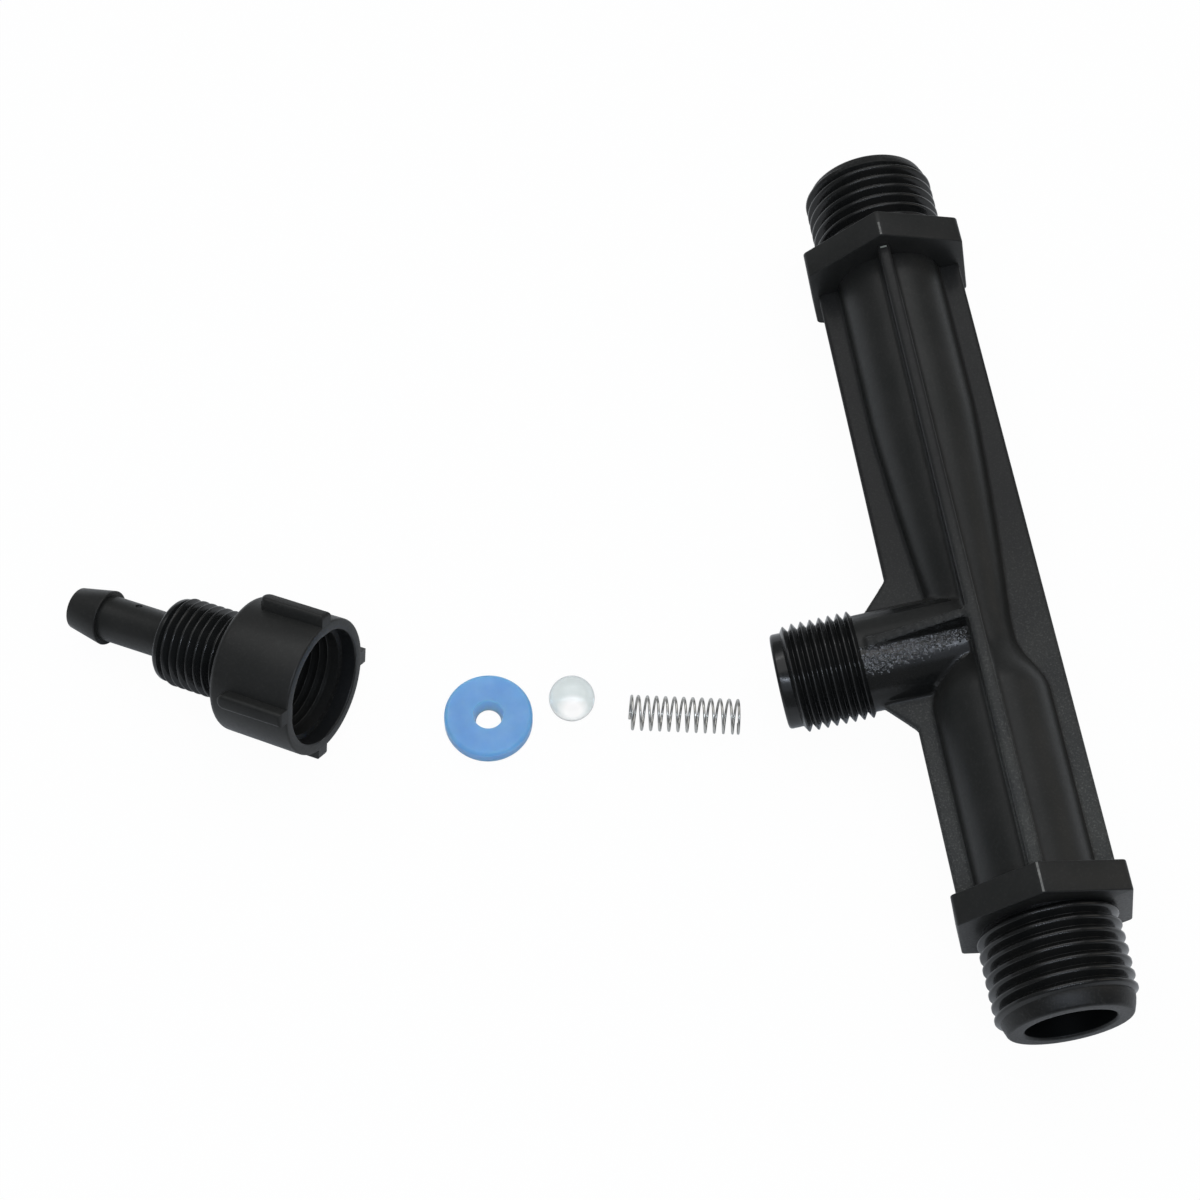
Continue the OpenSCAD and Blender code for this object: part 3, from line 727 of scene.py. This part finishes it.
def makeConnector():
    c = connector
    rim, back = c["rim"], c["backRound"]
    foot, barb, tip, inner = (c[key] for key in ("stemRound", "barbRound", "tipRound", "boreRound"))
    shell = turnedPiece("SuctionConnector", [
        *arc((c["mouth"] + rim, -rim), rim, 180, 90),
        *arc((c["cap"] - rim, -rim), rim, 90, 0),
        *arc((c["capBack"] - back, -c["capLen"] + back), back, 0, -90, 8),
        (c["threadCore"], -c["capLen"]), (c["threadCore"], -c["collarStart"]),
        (c["collar"], -c["collarStart"] - c["collarSlope"]),
        *arc((c["collar"] - c["lead"], -c["threadEnd"] + c["lead"]), c["lead"], 0, -90),
        *arc((c["stem"] + foot, -c["threadEnd"] - foot), foot, 90, 180, 4),
        (c["stem"], -c["barbStart"]), (c["barb"] - c["barbIn"], -c["barbStart"]),
        *arc((c["barb"] - barb, -c["barbStart"] - barb), barb, 80, -10, 4),
        *arc((c["tip"] - tip, -c["length"] + tip), tip, -10, -90, 4),
        *arc((c["bore"] + inner, -c["length"] + inner), inner, -90, -180, 4),
        (c["bore"], -c["socketDepth"]), (c["socket"], -c["socketDepth"]),
        (c["socket"], -c["mouthDepth"] - c["ledge"]), (c["mouth"], -c["mouthDepth"]), (c["mouth"], -rim),
    ], fineSteps)
    # small gate mark on top of the stem
    mark = c["gate"]
    deselectAll()
    bpy.ops.mesh.primitive_uv_sphere_add(segments=24, ring_count=12, radius=mark["radius"] * mm)
    gate = bpy.context.object
    sideX, sideY = mark["side"]
    settle(gate, Matrix.Translation(Vector((c["stem"] * sideX, c["stem"] * sideY, mark["height"])) * mm))
    cutAway(shell, gate)
    smoothShade(shell, 35)
    # the mouth's wall takes the darker, painted-shade finish
    for finish in (satinBlack, threadBlack, mouthShadeBlack, noseBlack):
        shell.data.materials.append(finish)
    for face in shell.data.polygons:
        radius, height = math.hypot(face.center.x, face.center.y) / mm, face.center.z / mm
        onLedge = abs(height + c["mouthDepth"] + c["ledge"] / 2) < near
        inMouth = radius < c["mouth"] + near and height > -c["mouthDepth"]
        onThread = -c["threadEnd"] < height < -c["capLen"] - near
        face.material_index = 3 if onLedge else 2 if inMouth else 1 if onThread else 0
    hoseRidge = threadRidge("HoseThread", c["hoseThread"])
    capRidge = threadRidge("CapThread", c["capThread"])
    for ridge, finish in ((hoseRidge, threadBlack), (capRidge, satinBlack)):
        smoothShade(ridge, 45)
        ridge.data.materials.append(finish)
    # one grip rib, then its copies round the cap
    half, base = c["ribWidth"] / 2, c["cap"] - c["ribHeight"]
    outline = [(base, -half, -c["ribIn"]), (base, half, -c["ribIn"])]
    outline += [(base, y, z) for y, z in arc((0, -c["ribLen"]), half, 0, -180, 12)]
    rib = plate("GripRib", outline, (2 * c["ribHeight"], 0, 0))
    top = base + 2 * c["ribHeight"]
    bevelEdges(rib, lambda start, end: min(start.x, end.x) > top - near, c["ribRound"], 5)
    smoothShade(rib, 40)
    rib.data.materials.append(satinBlack)
    ribs = [rib]
    while len(ribs) < c["ribs"]:
        twin = rib.copy()
        twin.data = rib.data.copy()
        bpy.context.scene.collection.objects.link(twin)
        ribs.append(twin)
    for i, piece in enumerate(ribs):
        settle(piece, Matrix.Rotation(math.radians(c["ribTurn"]) + turn * i / c["ribs"], 4, "Z"))
    joinUp(shell, hoseRidge, capRidge, *ribs)
    nut = mounts["hose_nut_thread"]
    along = -Vector(nut["axis"])
    mouth = Vector(nut["pos_m"]) + along * (c["capLen"] * mm + nut["dims"]["length_mm"] / 2 * mm)
    settle(
        shell, Matrix.Translation(mouth) @ Matrix.Rotation(math.radians(c["turn"]), 4, "Z")
        @ Matrix.Rotation(math.radians(90 - c["tilt"]), 4, "Y"),
    )
    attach(shell, "root")
    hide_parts("suction_connector")


makeConnector()
print("suction connector done")


def nodeMiddle(node):
    low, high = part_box(node)
    return (low + high) / 2


# valve spring, wound from stainless wire

spring = {
    "outside": 5.5, "wire": 0.4, "pitch": 1.39, "coils": 11.5, "endCoils": 0.75, "endPitch": 0.5,
    "turn": -10.7, "stepsPerCoil": 40, "dieLines": 0.12,
}


def coilHeight(turns):
    first = min(turns, spring["endCoils"])
    middle = max(0, min(turns - spring["endCoils"], spring["coils"]))
    last = max(0, turns - spring["endCoils"] - spring["coils"])
    return (first + last) * spring["endPitch"] + middle * spring["pitch"]


def makeSpring():
    # drawn stainless steel wire: bright, with fine lines from the die
    material, tree, surface = newMaterial("DrawnStainlessSteel")
    place = addNode(tree, "ShaderNodeTexCoord").outputs["Object"]
    lines = addNode(
        tree, "ShaderNodeTexNoise", {"Scale": 1 / (spring["dieLines"] * mm), "Detail": 2.0, "Roughness": 0.6},
        {"Vector": place},
    )
    tone = addNode(tree, "ShaderNodeValToRGB", links={"Fac": lines.outputs["Fac"]})
    tone.color_ramp.elements[0].color = hexLinear("#a3a29e")
    tone.color_ramp.elements[1].color = hexLinear("#cfcec9")
    tree.links.new(tone.outputs["Color"], surface.inputs["Base Color"])
    surface.inputs["Metallic"].default_value = 1.0
    rough = addNode(
        tree, "ShaderNodeMapRange", {"To Min": 0.22, "To Max": 0.36}, {"Value": lines.outputs["Fac"]},
    )
    tree.links.new(rough.outputs["Result"], surface.inputs["Roughness"])
    turns = spring["coils"] + 2 * spring["endCoils"]
    coil = (spring["outside"] - spring["wire"]) / 2
    count = int(turns * spring["stepsPerCoil"])
    path = bpy.data.curves.new("SpringWire", "CURVE")
    path.dimensions = "3D"
    path.bevel_depth = spring["wire"] / 2 * mm
    path.bevel_resolution = 3
    path.use_fill_caps = True
    line = path.splines.new("POLY")
    line.points.add(count)
    length = coilHeight(turns)
    for i, point in enumerate(line.points):
        done = turns * i / count
        angle = turn * done
        height = coilHeight(done) - length / 2
        spot = Vector((coil * math.cos(angle), coil * math.sin(angle), height)) * mm
        point.co = (*spot, 1)
    wire = bpy.data.objects.new("ValveSpring", path)
    bpy.context.scene.collection.objects.link(wire)
    pick(wire)
    bpy.ops.object.convert(target="MESH")
    bpy.ops.object.mode_set(mode="EDIT")
    closeUp()
    smoothShade(wire, 50)
    wire.data.materials.clear()
    wire.data.materials.append(material)
    settle(
        wire, Matrix.Translation(nodeMiddle("valve_spring"))
        @ Matrix.Rotation(math.radians(spring["turn"]), 4, "Z") @ Matrix.Rotation(turn / 4, 4, "Y"),
    )
    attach(wire, "root")
    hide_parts("valve_spring")


makeSpring()
print("spring done")

# check ball, pressed and polished glass

ball = {
    # painted shade: the ball's upper half is tinted grey-green, with an untinted spot at the front
    "diameter": 7, "haze": 2.5, "paintedShadeTone": "#bccbcc", "paintedShadeEdge": 0.8,
    "unshadedSpot": (-0.27, -2.88, 1.9), "unshadedFrom": 1.2, "unshadedTo": 2.7,  # middle and reach of the clear spot
}


def makeBall():
    # soda-lime glass, polished, a little hazy from handling
    material, tree, surface = newMaterial("PolishedSodaLimeGlass")
    place = addNode(tree, "ShaderNodeTexCoord").outputs["Object"]
    haze = addNode(
        tree, "ShaderNodeTexNoise", {"Scale": 1 / (ball["haze"] * mm), "Detail": 3.0}, {"Vector": place},
    )
    rough = addNode(
        tree, "ShaderNodeMapRange", {"To Min": 0.14, "To Max": 0.22}, {"Value": haze.outputs["Fac"]},
    )
    tree.links.new(rough.outputs["Result"], surface.inputs["Roughness"])
    # painted shade: a grey-green tint over its upper half for the darker room seen in the glass, left out in
    # a spot at the front
    middle = nodeMiddle("check_ball")
    unshadedSpot = addNode(
        tree, "ShaderNodeVectorMath", {1: middle + Vector(ball["unshadedSpot"]) * mm}, {0: place},
        operation="DISTANCE",
    )
    paintedShade = addNode(
        tree, "ShaderNodeMapRange", {"From Min": ball["unshadedFrom"] * mm, "From Max": ball["unshadedTo"] * mm},
        {"Value": unshadedSpot.outputs["Value"]},
    )
    side = addNode(tree, "ShaderNodeSeparateXYZ", links={"Vector": place})
    edge = ball["paintedShadeEdge"] * mm
    upper = addNode(
        tree, "ShaderNodeMapRange", {"From Min": middle.z - edge, "From Max": middle.z + edge},
        {"Value": side.outputs["Z"]},
    )
    depth = addNode(
        tree, "ShaderNodeMath", links={0: paintedShade.outputs["Result"], 1: upper.outputs["Result"]},
        operation="MULTIPLY",
    )
    paintedLightMix = addNode(
        tree, "ShaderNodeMix", {"A": hexLinear("#ffffff"), "B": hexLinear(ball["paintedShadeTone"])},
        {"Factor": depth.outputs["Value"]}, data_type="RGBA",
    )
    tree.links.new(paintedLightMix.outputs["Result"], surface.inputs["Base Color"])
    surface.inputs["IOR"].default_value = 1.46
    surface.inputs["Transmission Weight"].default_value = 1.0
    deselectAll()
    bpy.ops.mesh.primitive_uv_sphere_add(segments=96, ring_count=48, radius=ball["diameter"] / 2 * mm)
    glass = bpy.context.object
    glass.name = "CheckBall"
    settle(glass, Matrix.Translation(middle))
    bpy.ops.object.shade_smooth()
    glass.data.materials.append(material)
    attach(glass, "root")
    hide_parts("check_ball")


makeBall()
print("ball done")

# seal washer, moulded silicone rubber

washer = {
    "outside": 6.76, "hole": 2.3, "holeLow": 1.93, "thick": 3, "round": 0.7, "holeRound": 0.13,
    "cloud": 3, "skin": 0.3, "skinDepth": 0.03, "lightReach": 4,
}


def blueSilicone(name, dark, light):
    # translucent blue silicone rubber: smooth soft skin, light comes through it
    material, tree, surface = newMaterial(name)
    place = addNode(tree, "ShaderNodeTexCoord").outputs["Object"]
    clouds = addNode(
        tree, "ShaderNodeTexNoise", {"Scale": 1 / (washer["cloud"] * mm), "Detail": 3.0}, {"Vector": place},
    )
    tone = addNode(tree, "ShaderNodeValToRGB", links={"Fac": clouds.outputs["Fac"]})
    tone.color_ramp.elements[0].position = 0.3
    tone.color_ramp.elements[0].color = hexLinear(dark)
    tone.color_ramp.elements[1].position = 0.7
    tone.color_ramp.elements[1].color = hexLinear(light)
    tree.links.new(tone.outputs["Color"], surface.inputs["Base Color"])
    surface.inputs["Roughness"].default_value = 0.32
    surface.inputs["IOR"].default_value = 1.41
    surface.inputs["Subsurface Weight"].default_value = 1.0
    surface.inputs["Subsurface Radius"].default_value = (0.4, 0.8, 1.2)
    surface.inputs["Subsurface Scale"].default_value = washer["lightReach"] * mm
    skin = addNode(
        tree, "ShaderNodeTexNoise", {"Scale": 1 / (washer["skin"] * mm), "Detail": 2.0}, {"Vector": place},
    )
    bump = addNode(
        tree, "ShaderNodeBump", {"Strength": 0.1, "Distance": washer["skinDepth"] * mm},
        {"Height": skin.outputs["Fac"]},
    )
    tree.links.new(bump.outputs["Normal"], surface.inputs["Normal"])
    return material


def makeWasher():
    w = washer
    edge, lip, top = w["round"], w["holeRound"], w["thick"]
    ring = turnedPiece("SealWasher", [
        *arc((w["holeLow"] + lip, lip), lip, 180, 270),
        *arc((w["outside"] - edge, edge), edge, -90, 0, 8),
        *arc((w["outside"] - edge, top - edge), edge, 0, 90, 8),
        *arc((w["hole"] + lip, top - lip), lip, 90, 180),
        (w["holeLow"], lip),
    ], fineSteps)
    smoothShade(ring, 40)
    ring.data.materials.append(blueSilicone("BlueSiliconeRubber", "#6ea2d7", "#7db0df"))
    # painted light: the hole's wall gets a lighter blue, so that it shows as bright as the top face
    ring.data.materials.append(blueSilicone("PaintedLightBlueSiliconeRubber", "#92c2ec", "#9ccaf0"))
    for face in ring.data.polygons:
        inHole = math.hypot(face.center.x, face.center.y) < (w["hole"] + near) * mm
        face.material_index = 1 if inHole else 0
    middle = nodeMiddle("seal_washer")
    settle(ring, Matrix.Translation((middle.x, middle.y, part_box("seal_washer")[0].z)))
    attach(ring, "root")
    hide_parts("seal_washer")


makeWasher()
print("washer done")

bpy.context.view_layer.update()
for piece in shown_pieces():
    piece.data.calc_loop_triangles()
    print(piece.name, len(piece.data.loop_triangles), "triangles")
